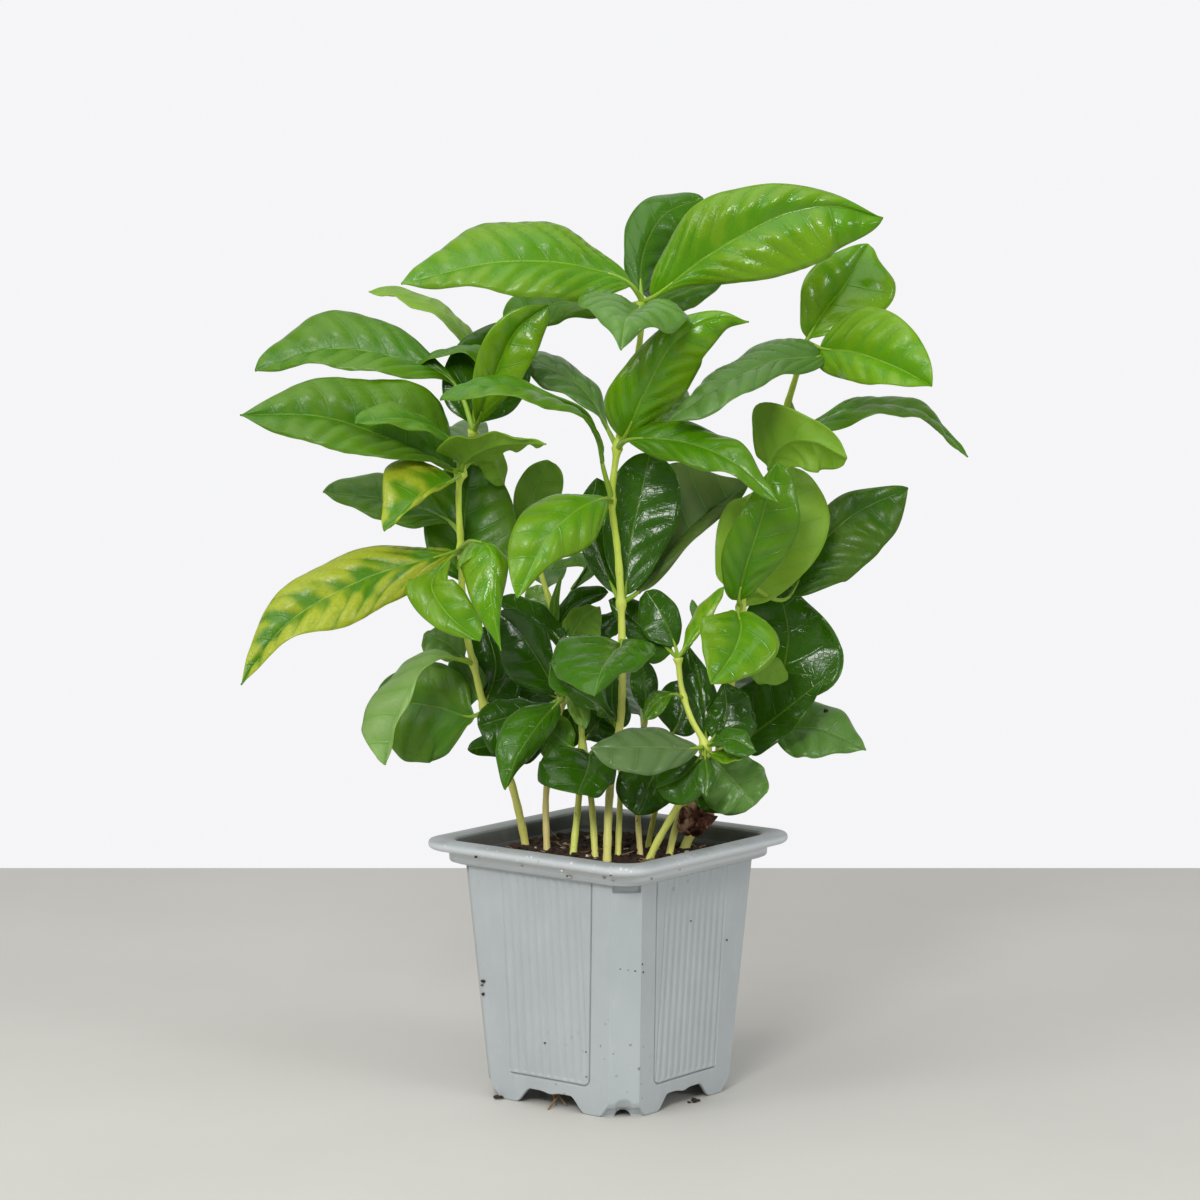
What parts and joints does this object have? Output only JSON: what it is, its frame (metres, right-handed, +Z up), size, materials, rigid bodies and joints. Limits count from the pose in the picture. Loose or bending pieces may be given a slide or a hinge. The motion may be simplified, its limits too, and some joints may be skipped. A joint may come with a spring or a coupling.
{
  "type": "potted coffee plant",
  "caption": "Young coffee plants with glossy green leaves growing in peaty soil in a small square grey nursery pot with a rolled rim, ribbed side panels and four corner feet.",
  "frame": {"origin": "centre of the bounding box's foot, on the surface that the pot stands on, under the middle of the pot", "axes": "+Z up; the pot's four faces are square to X and Y, and the picture looks at the corner between its faces toward -Y and +X"},
  "size_m": [0.1887, 0.1939, 0.2996],
  "materials": {
    "pot": "satin",
    "soil": "matte",
    "leaf": "satin"
  },
  "bodies": {
    "root": {"pot": "pot", "soil": "soil", "seedling_left": "leaf", "seedling_centre": "leaf", "seedling_right": "leaf", "seedling_front": "leaf", "seedling_low_left": "leaf", "seedling_low_middle": "leaf", "seedling_tall_back": "leaf", "seedling_low_front": "leaf", "seedling_thin_back": "leaf", "seedling_low_back": "leaf", "seedling_low_right": "leaf"}
  },
  "joints": []
}
